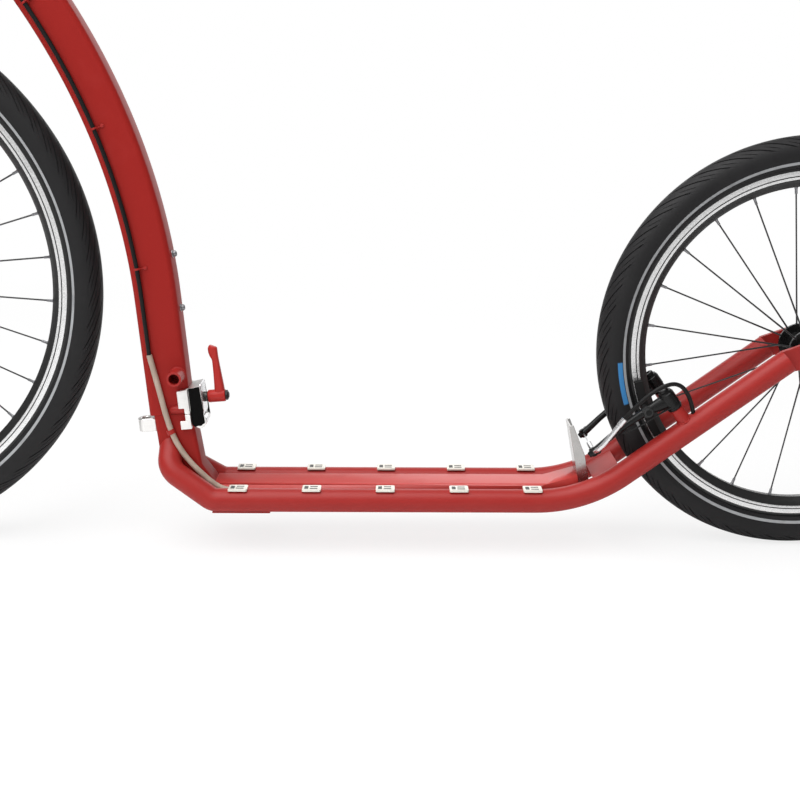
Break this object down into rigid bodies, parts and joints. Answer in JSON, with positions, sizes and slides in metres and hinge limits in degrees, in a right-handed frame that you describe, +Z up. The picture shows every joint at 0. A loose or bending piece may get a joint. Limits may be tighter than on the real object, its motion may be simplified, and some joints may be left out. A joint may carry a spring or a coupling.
{
  "type": "folding kick bike",
  "caption": "Foot-powered kick bike with a large front wheel, a small rear wheel, a low tubular deck and a main tube that folds back over it.",
  "frame": {"origin": "middle of the deck, in the top plane of its grip plates, where the rider stands", "axes": "+X forward, +Y the rider's left, +Z up"},
  "size_m": [1.7144, 0.6014, 0.9984],
  "materials": {
    "red_paint": "gloss powder coat",
    "red_lever": "satin powder coat",
    "brushed_metal": "brushed",
    "steel": "plated",
    "black_metal": "black anodised",
    "black_rim": "black with bare brake tracks",
    "shoe_rubber": "matte",
    "grip_rubber": "matte",
    "tyre_rubber": "matte with a pale reflective line",
    "housing": "satin",
    "clear_sleeve": "milky"
  },
  "bodies": {
    "rear_frame": {"hinge_post": "red_paint", "centre_deck_beam": "red_paint", "left_deck_tube": "red_paint", "right_deck_tube": "red_paint", "heel_guard": "brushed_metal", "rear_bridge": "red_paint", "grip_plates": "brushed_metal", "skid_plate": "brushed_metal", "rear_dropouts": "red_paint", "tow_eye": "brushed_metal", "lower_clamp_cheeks": "brushed_metal", "rear_axle": "steel", "left_rear_brake_arm": "black_metal", "right_rear_brake_arm": "black_metal", "rear_brake_bosses": "red_paint", "rear_brake_shoes": "shoe_rubber", "rear_brake_lead": "steel", "rear_cable_deck": "housing", "rear_cable_loop": "housing", "lower_cable_clip": "red_paint"},
    "front_frame": {"main_tube": "red_paint", "head_tube": "red_paint", "side_socket": "red_paint", "bottle_bosses": "steel", "upper_clamp_cheeks": "brushed_metal", "hinge_pin": "steel", "clamp_leaf": "black_metal", "clamp_stud": "steel", "clamp_lever": "red_lever", "rear_cable_upper": "housing", "rear_cable_sleeve": "clear_sleeve", "upper_cable_clips": "red_paint"},
    "steering": {"fork_crown": "red_paint", "left_fork_leg": "red_paint", "right_fork_leg": "red_paint", "handlebar": "black_metal", "stem": "black_metal", "grips": "grip_rubber", "brake_levers": "black_metal", "front_axle": "steel", "left_front_brake_arm": "black_metal", "right_front_brake_arm": "black_metal", "front_brake_bosses": "red_paint", "front_brake_shoes": "shoe_rubber", "front_brake_lead": "steel", "rear_cable_steer": "housing", "front_cable": "housing"},
    "front_wheel": {"front_tyre": "tyre_rubber", "front_rim": "black_rim", "front_hub": "black_metal", "front_spokes": "black_metal"},
    "rear_wheel": {"rear_tyre": "tyre_rubber", "rear_rim": "black_rim", "rear_hub": "black_metal", "rear_spokes": "black_metal"}
  },
  "joints": [
    {"name": "fold", "type": "hinge", "parent": "rear_frame", "child": "front_frame", "pos_m": [0.2205, 0, 0.072], "axis": [0, -1, 0], "range_deg": [0, 70], "deforming": ["rear_cable_sleeve"]},
    {"name": "steering", "type": "hinge", "parent": "front_frame", "child": "steering", "pos_m": [0.6102, 0, 0.22759], "axis": [-0.309, 0, 0.9511], "range_deg": [-60, 60], "deforming": ["rear_cable_steer"]},
    {"name": "front_wheel_spin", "type": "hinge", "parent": "steering", "child": "front_wheel", "pos_m": [0.653, 0, 0.2415], "axis": [0, 1, 0], "continuous": true},
    {"name": "rear_wheel_spin", "type": "hinge", "parent": "rear_frame", "child": "rear_wheel", "pos_m": [-0.495, 0, 0.165], "axis": [0, 1, 0], "continuous": true}
  ]
}
